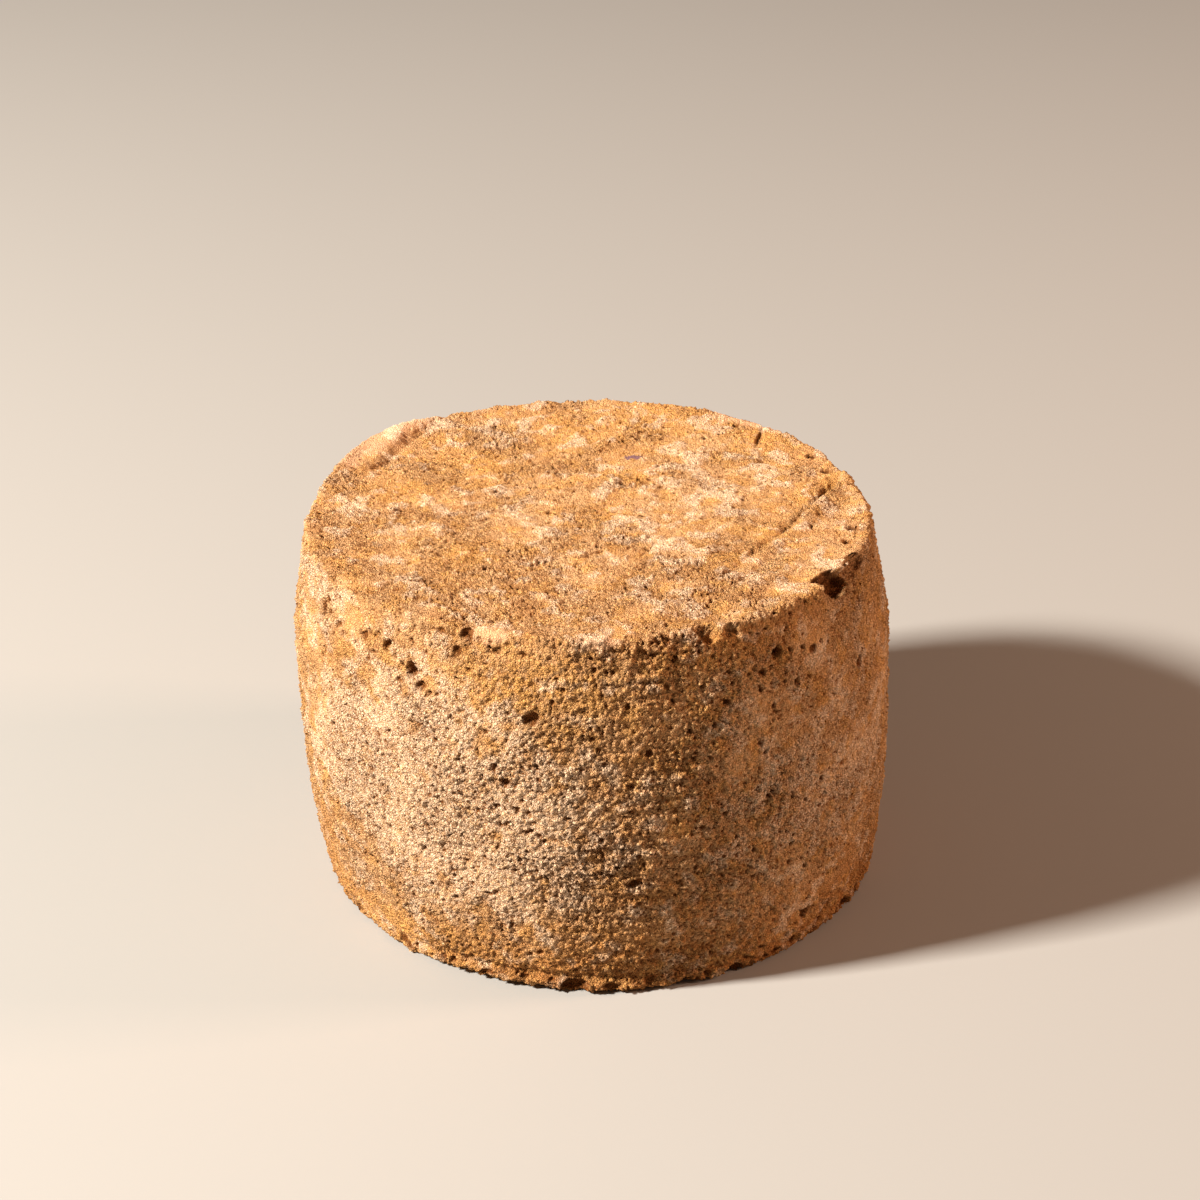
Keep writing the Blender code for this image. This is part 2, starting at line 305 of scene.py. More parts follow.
TOP_CREASES = (
    Crease(((61.0, 68.0), (58.5, 55.0), (56.3, 43.0)), 1.7, (1.4, 1.1, 0.0), 0.3, 0.7),
    Crease(((87.0, 28.0), (79.0, 14.0), (71.0, 0.0), (66.2, -10.7), (48.6, -39.1), (35.3, -56.0)), 3.4,
           (1.4, 2.0, 1.7, 1.3, 0.9, 0.0), 1.6, 0.25),
    Crease(((62.0, -30.0), (48.0, -52.0), (36.0, -70.0)), 3.4, (0.0, 1.0, 0.0), 0.8, 0.0),
    Crease(((38.0, 2.0), (24.0, -20.0), (10.0, -44.0)), 3.6, (0.0, 1.0, 0.0), 0.7, 0.0),
    Crease(((-51.0, 79.0), (-61.0, 59.1), (-70.2, 40.9), (-78.5, 27.0)), 4.2,
           (0.8, 1.3, 1.1, 0.0), 1.0, 0.25),
)

CREASE_WAVE = 0.7 * MM
CREASE_WAVE_SIZE = 3.5 * MM

# Pits scattered by a rule: how many, and their widths in millimetres; then their places and painted shade
SIDE_SPECKS = (3600, 0.8, 1.8)
TOP_SPECKS = (1300, 0.8, 1.7)
EDGE_NICKS = (9, 1.2, 3.0)
EDGE_NICK_AZIMUTHS = (-38.0, 24.0)
EDGE_NICK_HEIGHTS = (122.0, 126.5)
EDGE_NICK_SHADE = 0.15
FAR_NICKS = (44, 1.0, 2.8)
FAR_NICK_HEIGHTS = (121.0, 127.0)
FAR_NICK_SHADE = 0.35
FOOT_NICKS = (110, 1.4, 4.0)
FOOT_NICK_HEIGHTS = (0.5, 5.0)
BACK_PITS = (22, 2.2, 5.6)
BACK_AZIMUTHS = (95.0, 265.0)
BACK_HEIGHTS = (15.0, 117.0)
ALL_ROUND = (-180, 180)
PIT_PROPORTIONS = (0.5, 1.1)
PIT_DEPTH_SHARES = (0.35, 0.55)
PIT_TURNS = (-40, 40)

# Specks: where they begin above the foot, the patches they thicken in, and their shares of their width
SPECK_START = (4 * MM, 9 * MM)
SPECK_PATCH = 16 * MM
SPECK_LIMITS = (-0.25, 0.35)
SPECKS_ELSEWHERE = 0.25
SPECK_POWER = 0.45
SPECK_DEPTH_SHARES = (0.4, 0.8)
SPECK_BREADTH_SHARES = (0.6, 1.0)

# How steep a pit's walls are, and how far it reaches: round its middle, outside the rind and into it
PIT_STEEPNESS = 0.30
PIT_SEARCH = 1.3
PIT_OUTSIDE = -1.2
PIT_INSIDE = 0.3

# How ragged a pit's outline and floor are: size of the bumps, their reach, and the most of the pit's radius
PIT_OUTLINE = (1.7 * MM, 1.1 * MM, 0.7)
PIT_FLOOR = (1.2 * MM, 0.9 * MM, 0.5)
# Painted shade in a pit: how far outside its outline it begins, and how far inside it is full
PIT_SHADING = (-0.14, 0.25)

# Pale bloom on the side: azimuth, height, half width in degrees, half height, strength
SIDE_BLOOMS = (
    (-30.0, 58.0 * MM, 26.0, 28.0 * MM, 1.0),
    (-50.0, 78.0 * MM, 13.0, 24.0 * MM, 0.8),
    (-30.0, 98.0 * MM, 14.0, 14.0 * MM, 0.7),
    (-14.0, 62.0 * MM, 15.0, 26.0 * MM, 0.8),
    (54.0, 64.0 * MM, 24.0, 34.0 * MM, 0.6),
    (-68.0, 120.0 * MM, 12.0, 7.0 * MM, 0.8),
    (150.0, 66.0 * MM, 40.0, 30.0 * MM, 0.9),
    (-130.0, 62.0 * MM, 40.0, 30.0 * MM, 0.9),
)

# Pale bloom on the top: X, Y and radius in millimetres
TOP_BLOOMS = (
    (34, 12, 7), (41, 24, 6), (51, 16, 6), (59, 22, 7), (60, 4, 6), (28, 29, 9), (19, -13, 9), (8, -7, 8),
    (33, -27, 11), (46, -2, 7), (65, 36, 7), (40, 73, 9), (30, 51, 6), (35, 38, 6), (5, 20, 7), (-26, 0, 9),
    (-16, -13, 8), (84, 3, 6), (77, -40, 8), (4, -90, 7), (-27, -82, 5), (-21, 74, 8), (-46, 70, 8),
    (56, -52, 11), (30, -70, 9), (-78, 4, 9), (-34, -60, 8),
)

# More orange stretches of the top: X, Y and radius in millimetres
TOP_OCHRES = (
    (22, 80, 20), (-6, 66, 18), (60, 60, 14), (-36, 40, 16), (74, 12, 9), (60, -14, 9), (16, 30, 9),
    (6, 0, 8), (46, -34, 8), (84, 24, 8), (-60, 20, 12), (-40, -30, 10),
)

# Crusts of bloom: size of the patches, how much the places above draw them, limits, and their rise
BLOOM_PATCH = 7.0 * MM
BLOOM_PULL = 0.50
BLOOM_LIMITS = (0.17, 0.57)
SIDE_BLOOM_PULL = 0.72
SIDE_BLOOM_LIMITS = (0.06, 0.54)
SIDE_BLOOM_SCATTER = 0.65
BLOOM_OCTAVES = 4
CRUST_ON_TOP = 0.45 * MM
CRUST_ON_SIDE = 0.20 * MM

# Stretches of the top's edge that are smooth and flesh-coloured: azimuth, half width, reach from the edge
SMOOTH_EDGES = (
    (-127.0, 17.0, 9.0 * MM),
    (-19.0, 4.0, 3.0 * MM),
    (2.0, 5.0, 2.6 * MM),
    (140.0, 12.0, 4.0 * MM),
)
SMOOTHING = 0.5
SMOOTH_LIMITS = (0.25, 0.6)
SMOOTH_RAGGEDNESS = (5 * MM, 0.25)

# A violet fleck on the top
FLECK_PLACE = (15.6 * MM, 45.2 * MM)
FLECK_SIZE = (3.6 * MM, 1.7 * MM)
FLECK_LIMITS = (1.0, 0.7)
FLECK_RAGGEDNESS = (2 * MM, 0.5)

# Yellower stretches of the side: azimuth, height, half width in degrees, half height, strength
SIDE_OCHRES = (
    (-12.0, 112.0 * MM, 18.0, 12.0 * MM, 1.0),
    (26.0, 122.0 * MM, 16.0, 7.0 * MM, 1.0),
    (60.0, 4.0 * MM, 60.0, 11.0 * MM, 1.0),
    (-40.0, 8.0 * MM, 30.0, 10.0 * MM, 0.9),
    (0.0, 12.0 * MM, 30.0, 10.0 * MM, 0.5),
    (170.0, 100.0 * MM, 40.0, 14.0 * MM, 0.7),
)

# Browner stretches of the side, with the same numbers; partly browner rind, partly painted shade low down
SIDE_BROWNS_AND_SHADE = (
    (45.0, 5.0 * MM, 55.0, 20.0 * MM, 1.0),
    (30.0, 123.0 * MM, 22.0, 8.0 * MM, 0.7),
    (-74.0, 18.0 * MM, 16.0, 28.0 * MM, 0.5),
    (12.0, 40.0 * MM, 12.0, 26.0 * MM, 0.5),
    (2.0, 3.0 * MM, 24.0, 15.0 * MM, 0.9),
    (170.0, 5.0 * MM, 80.0, 16.0 * MM, 0.8),
)

# Colours of the rind, as linear red, green and blue
TAN = (0.72, 0.405, 0.188)
DEEP_TAN = (0.66, 0.340, 0.138)
OCHRE = (0.75, 0.370, 0.110)
BLOOM = (0.90, 0.625, 0.405)
# Painted shade for the valleys between grains, for creases and for hollows under the edge
CREVICE_SHADE_COLOUR = (0.22, 0.074, 0.018)
# Painted shade for pits, chips and nicks
PIT_SHADE_COLOUR = (0.200, 0.062, 0.012)
# Browner colour, partly painted shade low on the side and at the foot
BROWN_AND_SHADE = (0.50, 0.210, 0.062)
RUST = (0.46, 0.18, 0.05)
FLESH = (0.66, 0.375, 0.225)
VIOLET = (0.26, 0.13, 0.14)

# The material: what the relief is stored as a share of, fine grain, painted shade in cracks and pits, and
# gloss
MOST_RELIEF = 1.6
FINE_GRAIN = 0.85 * MM
FINE_BUMP = 0.85 * MM
FINE_BEND = (1.6 * MM, 0.7 * MM)
CRACK_WIDTH = 0.13
CRACK_SHADE = 0.60
SPECK_SIZE = 2.1 * MM
SPECK_SHARE = 0.28
SPECK_SHADE = 0.8
MOST_GOLDEN = 0.7
MOST_RUST = 0.55
MOST_FLESH = 0.6
CREVICE_SHADE_MIX = 0.85
PIT_SHADE_MIX = 0.92
RIND_ROUGHNESS = 0.88
RIND_SPECULAR = 0.08

# Studio
FLOOR_COLOUR = (0.36, 0.342, 0.32)
FLOOR_HALF = 6.0
FLOOR_ROUGHNESS = 0.7

# Lights: azimuth, elevation, distance, size, watts and colour
KEY = (-71.0, 36.5, 2.6, 0.28, 212.0, (1.0, 0.95, 0.87))
FILL = (92.0, 22.0, 2.0, 0.4, 28.0, (1.0, 0.63, 0.44))
SURROUND_COLOUR = (1.0, 0.67, 0.48, 1.0)
SURROUND_STRENGTH = 0.15

CAMERA_DISTANCE = 1.0264
CAMERA_ELEVATION = 28.19
CAMERA_PITCH = 26.70
CAMERA_OFFSET = (2.3 * MM, 0.64 * MM)
CAMERA_LENS = 90.0
SENSOR_WIDTH = 36.0


def bell(distance, half_width):
    """A smooth hump: 1 in its middle, and nearly 0 two half widths away."""
    return np.exp(-(distance / half_width) ** 2)


def turn_between(azimuth, other):
    """The turn from one azimuth to another, between -180 and 180 degrees."""
    return (azimuth - other + 180.0) % 360.0 - 180.0


def soft_step(low, high, value):
    """0 under low, 1 over high, and smooth between."""
    share = np.clip((value - low) / (high - low), 0.0, 1.0)
    return share * share * (3 - 2 * share)


def noise_at(points, size, seed=0.0):
    """Smooth noise between about -1 and 1 at each point, in lumps of a size."""
    places = (points / size + seed).tolist()
    return np.fromiter(map(noise.noise, places), float, len(places))


def lumps(points, lump):
    """Uneven swelling of the rind at each point, as in the solid."""
    size, depth = lump
    return depth * noise_at(points, size)


def side_radius(height):
    """Radius of the side at a height above the ground."""
    share = height / HEIGHT
    straight = FOOT_RADIUS + (SHOULDER_RADIUS - FOOT_RADIUS) * share
    belly = WIDEST_RADIUS - (FOOT_RADIUS + SHOULDER_RADIUS) / 2
    return straight + belly * (1 - np.abs(2 * share - 1) ** BARREL_POWER)


def edge_swell(azimuth, height):
    """How far the upper side goes out or in where the edge is swollen or flattened."""
    near_top = bell(1 - height / HEIGHT, EDGE_SWELL_REACH)
    return near_top * sum(
        out * bell(turn_between(azimuth, centre), half_width) for centre, half_width, out in EDGE_SWELLS
    )


def foot_swell(points, azimuth, height):
    """How far the foot's flange stands out, with the groove above it."""
    here = bell(turn_between(azimuth, FLANGE_AZIMUTH), FLANGE_HALF_WIDTH)
    flange = FLANGE_OUT * bell(height - FLANGE_HEIGHT, FLANGE_THICKNESS)
    groove = GROOVE_DEPTH * bell(height - GROOVE_HEIGHT, FLANGE_THICKNESS / 2)
    return here * (flange - groove) + lumps(points, FOOT_LUMPS) * bell(height, 2 * FLANGE_THICKNESS)


def cloth_ridges(points):
    """The row of low ridges that the cloth left on the right of the top."""
    angle = math.radians(RIDGE_DIRECTION)
    offset_x, offset_y = points[:, 0] - RIDGE_MIDDLE[0], points[:, 1] - RIDGE_MIDDLE[1]
    across = offset_x * math.cos(angle) + offset_y * math.sin(angle)
    spread = bell(np.hypot(offset_x, offset_y), RIDGE_SPREAD)
    return RIDGE_RISE * np.cos(math.tau * across / RIDGE_SPACING) * spread


def top_rise(points, azimuth, radius):
    """How far the top stands above or below its plane."""
    from_edge = SHOULDER_RADIUS - EDGE_ROUNDING - radius
    hollow = TOP_HOLLOW * np.maximum(0.0, 1 - (radius / SHOULDER_RADIUS) ** 2)
    lip = LIP_RISE * bell(from_edge, LIP_WIDTH)
    fold = FOLD_RISE * bell(turn_between(azimuth, FOLD_AZIMUTH), FOLD_HALF_WIDTH)
    fold = fold * bell(from_edge, FOLD_BREADTH)
    uneven = lumps(points, BROAD_LUMPS) + TOP_LUMP_SHARE * lumps(points, SMALL_LUMPS)
    return lip + fold - hollow + uneven + cloth_ridges(points)


def foot_lift(points, azimuth, height):
    """How far the edge of the foot stands off the ground."""
    lifted = bell(turn_between(azimuth, LIFT_AZIMUTH), LIFT_HALF_WIDTH)
    lifted = lifted + LIFT_ELSEWHERE * (1 + lumps(points, LIFT_LUMPS))
    return FOOT_LIFT * lifted * np.maximum(0.0, 1 - height / LIFT_TOP)


def polar(points):
    """Azimuth in degrees, and radius, of each point."""
    return np.degrees(np.arctan2(points[:, 0], -points[:, 1])), np.hypot(points[:, 0], points[:, 1])


def shaped(points):
    """Where the points of the even, turned wheel lie on the real, uneven one."""
    azimuth, radius = polar(points)
    height = points[:, 2]
    out = edge_swell(azimuth, height) + foot_swell(points, azimuth, height)
    out += lumps(points, BROAD_LUMPS) + lumps(points, SMALL_LUMPS)
    out *= (radius / side_radius(height)) ** SWELL_FADE_POWER
    on_top = np.maximum(0.0, 1 - (HEIGHT - height) / EDGE_ROUNDING)
    rise = on_top * top_rise(points, azimuth, radius) + foot_lift(points, azimuth, height)
    angle = np.radians(azimuth)
    moved = points + np.stack([np.sin(angle) * out, -np.cos(angle) * out, rise], 1)
    moved[:, 0] += LEAN * height / HEIGHT
    flat = (height <= 0) & (radius <= FLAT_BASE_RADIUS)
    moved[flat] = points[flat]
    return moved


def profile_rows():
    """Radius and height of the side's rows, evenly spaced from the flat base to the top's edge."""
    edge_foot = HEIGHT - EDGE_ROUNDING
    top_radius = side_radius(edge_foot) - EDGE_ROUNDING
    foot = [(FLAT_BASE_RADIUS, 0.0), (FOOT_RADIUS - FOOT_ROUNDING, 0.0)]
    heights = np.linspace(FOOT_ROUNDING, edge_foot, SIDE_STEPS)
    side = [(side_radius(height), height) for height in heights]
    turns = np.radians(np.linspace(0, 90, EDGE_STEPS)[1:])
    edge = [(top_radius + EDGE_ROUNDING * math.cos(turn), edge_foot + EDGE_ROUNDING * math.sin(turn))
            for turn in turns]
    line = np.array(foot + side + edge)
    along = np.concatenate([[0.0], np.cumsum(np.hypot(*np.diff(line, axis=0).T))])
    stops = np.linspace(0, along[-1], round(along[-1] / ROW_SPACING))
    return np.stack([np.interp(stops, along, line[:, 0]), np.interp(stops, along, line[:, 1])], 1)


def disc_grid(cells):
    """A square grid bent to a disc of radius 1, with its rim points evenly spaced round it."""
    steps = np.linspace(-1, 1, cells + 1)
    across, up = np.meshgrid(steps, steps, indexing="ij")
    wide = np.abs(across) >= np.abs(up)
    reach = np.where(wide, across, up)
    ratio = np.divide(np.where(wide, up, across), reach, out=np.zeros_like(reach), where=reach != 0)
    angle = np.where(wide, ratio * math.pi / 4, math.pi / 2 - ratio * math.pi / 4)
    return reach * np.cos(angle), reach * np.sin(angle)


def grid_faces(index):
    """Quads over a two-way array of point numbers, in the order of its rows and columns."""
    return np.stack([index[:-1, :-1], index[1:, :-1], index[1:, 1:], index[:-1, 1:]], -1).reshape(-1, 4)


class Grid:
    """The points and faces of the even wheel, with a place on the flat map for each corner."""

    def __init__(self):
        self.points = np.zeros((0, 3))
        self.faces = []
        self.corners = []

    def add_points(self, points):
        """Add points, and give their numbers."""
        first = len(self.points)
        self.points = np.concatenate([self.points, points])
        return np.arange(first, len(self.points))

    def add_faces(self, faces, corners):
        self.faces += faces.tolist()
        self.corners.append(corners.reshape(-1, 2))


def column_angle(column):
    """Angle of a column of the side, from +X towards +Y."""
    return math.tau * column / COLUMNS


def add_side(grid, rows):
    """The side, with the foot's and the top's rounded edges; gives the numbers of its points."""
    angle = column_angle(np.arange(COLUMNS))
    points = np.stack([
        rows[:, None, 0] * np.cos(angle),
        rows[:, None, 0] * np.sin(angle),
        np.broadcast_to(rows[:, None, 1], (len(rows), COLUMNS)),
    ], -1)
    index = grid.add_points(points.reshape(-1, 3)).reshape(len(rows), COLUMNS)
    closed = np.concatenate([index, index[:, :1]], 1)
    faces = np.stack([closed[:-1, :-1], closed[:-1, 1:], closed[1:, 1:], closed[1:, :-1]], -1).reshape(-1, 4)
    row, column = np.meshgrid(np.arange(len(rows) - 1), np.arange(COLUMNS), indexing="ij")
    per_strip = COLUMNS // STRIPS
    strip, local = column // per_strip, column % per_strip
    across = np.stack([local, local + 1, local + 1, local], -1) * math.tau * WIDEST_RADIUS / COLUMNS
    up = np.stack([row, row, row + 1, row + 1], -1) * ROW_SPACING
    up = up + strip[..., None] * (len(rows) * ROW_SPACING + MAP_GAP)
    grid.add_faces(faces, np.stack([across, up], -1))
    return index


def disc_corners(faces, points, offset):
    """Places on the flat map for the corners of a disc's faces, seen from above."""
    return points[faces.reshape(-1), :2] + offset


def add_top(grid, edge, height, radius):
    """The top disc, whose rim is the side's last row."""
    cells = COLUMNS // 4
    across, up = disc_grid(cells)
    inner = np.zeros((cells + 1, cells + 1), bool)
    inner[1:-1, 1:-1] = True
    index = np.zeros((cells + 1, cells + 1), int)
    points = np.stack([across * radius, up * radius, np.full_like(up, height)], -1)
    index[inner] = grid.add_points(points[inner])
    turn = np.arctan2(up[~inner], across[~inner]) / math.tau * COLUMNS
    index[~inner] = edge[np.round(turn).astype(int) % COLUMNS]
    faces = grid_faces(index)
    grid.add_faces(faces, disc_corners(faces, grid.points, top_map_offset(radius)))


def top_map_offset(radius):
    """Where the middle of the top lies on the flat map."""
    return np.array([math.tau * WIDEST_RADIUS / STRIPS + MAP_GAP + radius, radius])


def add_base(grid, edge):
    """The flat base, coarser than the rest, with a strip of faces to the side's first row."""
    cells = BASE_COLUMNS // 4
    radius = FLAT_BASE_RADIUS * BASE_INSET
    across, up = disc_grid(cells)
    points = np.stack([across * radius, up * radius, np.zeros_like(up)], -1).reshape(-1, 3)
    index = grid.add_points(points).reshape(cells + 1, cells + 1)
    offset = top_map_offset(SHOULDER_RADIUS) + np.array([0.0, SHOULDER_RADIUS + FLAT_BASE_RADIUS + MAP_GAP])
    faces = grid_faces(index)[:, ::-1]
    grid.add_faces(faces, disc_corners(faces, grid.points, offset))
    rim = np.ones((cells + 1, cells + 1), bool)
    rim[1:-1, 1:-1] = False
    turn = np.round(np.arctan2(up[rim], across[rim]) / math.tau * BASE_COLUMNS).astype(int) % BASE_COLUMNS
    ring = np.zeros(BASE_COLUMNS, int)
    ring[turn] = index[rim]
    step = COLUMNS // BASE_COLUMNS
    for place in range(BASE_COLUMNS):
        outer = [edge[(place * step + extra) % COLUMNS] for extra in range(step, -1, -1)]
        face = np.array([outer + [ring[place], ring[(place + 1) % BASE_COLUMNS]]])
        grid.add_faces(face, disc_corners(face, grid.points, offset))


def even_wheel():
    """The grid of the even wheel."""
    grid = Grid()
    rows = profile_rows()
    side = add_side(grid, rows)
    add_top(grid, side[-1], HEIGHT, rows[-1, 0])
    add_base(grid, side[0])
    return grid


def point_normals(points, faces):
    """The outward direction at each point of a mesh, from the faces round it."""
    mesh = bpy.data.meshes.new("form")
    mesh.from_pydata(points, [], faces)
    normals = np.zeros(len(points) * 3, np.float32)
    mesh.vertex_normals.foreach_get("vector", normals)
    bpy.data.meshes.remove(mesh)
    return normals.reshape(-1, 3).astype(float)


def grain_at(places, size):
    """Crumbly grains of a size: up to 1 on top of a grain, and 0 in the valley round it."""
    places = places / size
    warp = np.array([noise.noise_vector(place) for place in places.tolist()])
    heights = np.zeros(len(places))
    for number, place in enumerate((places + GRAIN_WARP * warp).tolist()):
        distances, middles = noise.voronoi(place)
        tallness = LOWEST_GRAIN + (1 - LOWEST_GRAIN) * (1 + noise.cell(middles[0] * 9)) / 2
        wall = min(1.0, (distances[1] - distances[0]) / GRAIN_GAP)
        dome = max(0.0, 1 - distances[0] ** 2)
        heights[number] = tallness * wall * (2 - wall) * (1 - GRAIN_DOME + GRAIN_DOME * dome)
    return heights


def route_fall(points, crease):
    """How far a crease is pressed in at each point, and how far the shoulder outside it is raised."""
    route = np.array(crease.route) * MM
    nearest = np.full(len(points), np.inf)
    depth = np.zeros(len(points))
    outside = np.zeros(len(points), bool)
    stretches = zip(route[:-1], route[1:], crease.depths[:-1], crease.depths[1:])
    for start, end, first_depth, last_depth in stretches:
        run = end - start
        offset = points[:, :2] - start
        share = np.clip(offset @ run / (run @ run), 0, 1)
        distance = np.hypot(*(offset - share[:, None] * run).T)
        nearer = distance < nearest
        nearest[nearer] = distance[nearer]
        depth[nearer] = (first_depth + (last_depth - first_depth) * share)[nearer]
        side = run[0] * offset[:, 1] - run[1] * offset[:, 0]
        axis_side = run[1] * start[0] - run[0] * start[1]
        outside[nearer] = (side * axis_side < 0)[nearer]
    half_width = crease.width * MM / 2
    wavy = nearest + CREASE_WAVE * noise_at(points, CREASE_WAVE_SIZE, 31.0)
    groove = depth * MM * bell(wavy, half_width)
    shoulder = crease.shoulder * MM * depth / max(crease.depths)
    shoulder = shoulder * bell(nearest - 2 * half_width, 2 * half_width)
    return groove, np.where(outside, shoulder, 0.0)


def fractal(points, size, octaves):
    """Noise with finer and finer lumps in it at each point."""
    return sum(noise_at(points, size / 2 ** octave, 5.0 * octave) / 2 ** octave for octave in range(octaves))


def ragged(points, bumps, radius, seed):
    """Uneven shares of a pit's radius at each point."""
    size, reach, most = bumps
    return min(most, reach / radius) * noise_at(points, size, seed)


class Rind:
    """The detailed points of the rind, and what is painted on them."""

    def __init__(self, even, faces):
        self.even = even
        self.domain = even @ np.array(Euler(GRAIN_TURN).to_matrix())
        self.azimuth, self.radius = polar(even)
        self.height = even[:, 2]
        rim = SHOULDER_RADIUS - EDGE_ROUNDING / 3, HEIGHT - EDGE_ROUNDING / 3
        self.from_rim = np.hypot(self.radius - rim[0], self.height - rim[1])
        self.points = shaped(even)
        self.normals = point_normals(self.points, faces)
        self.is_base = (self.height <= 0) & (self.radius <= FLAT_BASE_RADIUS)
        self.on_top = soft_step(HEIGHT - EDGE_ROUNDING, HEIGHT, self.height)
        self.pit = np.zeros(len(even))
        self.crevice_shade = np.zeros(len(even))
        self.relief = np.ones(len(even))
        self.smooth = np.zeros(len(even))
        for azimuth, half_width, reach in SMOOTH_EDGES:
            here = bell(turn_between(self.azimuth, azimuth), half_width) * bell(self.from_rim, reach)
            here += SMOOTH_RAGGEDNESS[1] * noise_at(even, SMOOTH_RAGGEDNESS[0], 61.0)
            self.smooth = np.maximum(self.smooth, soft_step(*SMOOTH_LIMITS, here))
        self.form = self.points.copy()
        self.tree = kdtree.KDTree(len(even))
        for number, point in enumerate(self.points.tolist()):
            self.tree.insert(point, number)
        self.tree.balance()

    def push(self, depth):
        """Move the points along their normals, outward where depth is positive."""
        free = np.where(self.is_base, 0.0, 1.0)
        self.points += self.normals * (free * depth)[:, None]

    def carve(self, centre, axes, radii, seed, shade_strength=1.0):
        """Cut a rough, stretched ball out of the rind; the second axis points into the wheel."""
        reach = max(radii)
        found = [number for _, number, _ in self.tree.find_range(centre, PIT_SEARCH * reach)]
        if not found:
            return
        found = np.array(found)
        local = (self.points[found] - np.array(centre)) @ np.array(axes).T / np.array(radii)
        rough = 1 + ragged(self.points[found], PIT_OUTLINE, min(radii[0], radii[2]), seed)
        inside = rough - local[:, 0] ** 2 - local[:, 2] ** 2
        floor = np.maximum(inside, 0.0) ** PIT_STEEPNESS
        floor *= 1 + ragged(self.points[found], PIT_FLOOR, radii[1], seed + 9)
        into = local[:, 1]
        near = (into < np.maximum(floor, PIT_INSIDE)) & (into > PIT_OUTSIDE) & ~self.is_base[found]
        # Paint shade into the pit, fading in across its outline
        shade = np.where(near, shade_strength * soft_step(*PIT_SHADING, inside), 0.0)
        self.pit[found] = np.maximum(self.pit[found], shade)
        cut = near & (inside > 0) & (into < floor)
        gone = (floor - into)[cut] * radii[1]
        self.points[found[cut]] += np.outer(gone, axes[1])


def side_axes(azimuth, turn, slant=0.0):
    """Directions of a pit in the side: along it, into the wheel, and up it; slanted, it also goes down."""
    angle, twist, lean = math.radians(azimuth), math.radians(turn), math.radians(slant)
    along = np.array([math.cos(angle), math.sin(angle), 0.0])
    inward = np.array([-math.sin(angle), math.cos(angle), 0.0])
    up = np.array([0.0, 0.0, 1.0])
    inward, up = inward * math.cos(lean) - up * math.sin(lean), up * math.cos(lean) + inward * math.sin(lean)
    over = along * math.sin(twist) + up * math.cos(twist)
    return along * math.cos(twist) - up * math.sin(twist), inward, over


def side_place(azimuth, height, inset=0.0):
    """Where a place of the even side, or one in from it, is on the uneven wheel."""
    angle, radius = math.radians(azimuth), side_radius(height) - inset
    return shaped(np.array([[radius * math.sin(angle), -radius * math.cos(angle), height]]))[0]


def carve_side(rind, pit, seed, shade_strength=1.0):
    """Cut one pit into the side."""
    radii = np.array([pit.width / 2, pit.depth, pit.tallness / 2]) * MM
    place = side_place(pit.azimuth, pit.height * MM)
    rind.carve(place, side_axes(pit.azimuth, pit.turn), radii, seed, shade_strength)


def carve_ragged(rind, pit, place, axes, lobes, draw, shade_strength):
    """Cut a large pit or chip with smaller ones at its edge, so that its outline is ragged."""
    radii = np.array([pit.width / 2, pit.depth, pit.tallness / 2]) * MM
    rind.carve(place, axes, radii, draw.uniform(0, 99), shade_strength)
    for _ in range(lobes):
        turn = draw.uniform(0, math.tau)
        offset = axes[0] * radii[0] * math.cos(turn) + axes[2] * radii[2] * math.sin(turn)
        smaller = radii * draw.uniform(*LOBE_SIZES)
        rind.carve(place + LOBE_PLACE * offset, axes, smaller, draw.uniform(0, 99), shade_strength)


def carve_top(rind, pit, seed):
    """Cut one pit into the top, where the uneven top is."""
    place = shaped(np.array([[pit.across * MM, pit.back * MM, HEIGHT]]))[0]
    twist = math.radians(pit.turn)
    along = np.array([math.cos(twist), math.sin(twist), 0.0])
    over = np.array([-math.sin(twist), math.cos(twist), 0.0])
    radii = np.array([pit.width / 2, pit.depth, pit.breadth / 2]) * MM
    rind.carve(place, (along, np.array([0.0, 0.0, -1.0]), over), radii, seed)


def carve_speck(rind, draw, place, inward, width):
    """Cut one small pit anywhere, across the direction that points into the wheel."""
    along = np.cross(inward, draw.normal(size=3))
    along /= np.linalg.norm(along)
    depth = width * draw.uniform(*SPECK_DEPTH_SHARES)
    radii = np.array([width / 2, depth, width / 2 * draw.uniform(*SPECK_BREADTH_SHARES)]) * MM
    rind.carve(place, (along, inward, np.cross(along, inward)), radii, draw.uniform(0, 99))


def scattered_specks(rind, draw, specks, allowed):
    """Cut many small pits where they are allowed, more of them in some stretches than in others."""
    count, smallest, largest = specks
    patches = soft_step(*SPECK_LIMITS, noise_at(rind.even, SPECK_PATCH, 7.0))
    weights = allowed * (SPECKS_ELSEWHERE + patches)
    chosen = draw.choice(len(weights), count, replace=False, p=weights / weights.sum())
    for number in chosen:
        width = smallest + (largest - smallest) * draw.power(SPECK_POWER)
        carve_speck(rind, draw, rind.points[number].copy(), -rind.normals[number], width)


def random_pits(rind, draw, pits, azimuths, heights, shade_strength=1.0):
    """Cut pits of the side at random within a stretch of it."""
    count, smallest, largest = pits
    for _ in range(count):
        width = draw.uniform(smallest, largest)
        azimuth, height = draw.uniform(*azimuths), draw.uniform(*heights)
        tallness = width * draw.uniform(*PIT_PROPORTIONS)
        depth = width * draw.uniform(*PIT_DEPTH_SHARES)
        pit = Pit(azimuth, height, width, tallness, depth, draw.uniform(*PIT_TURNS))
        carve_side(rind, pit, draw.uniform(0, 99), shade_strength)


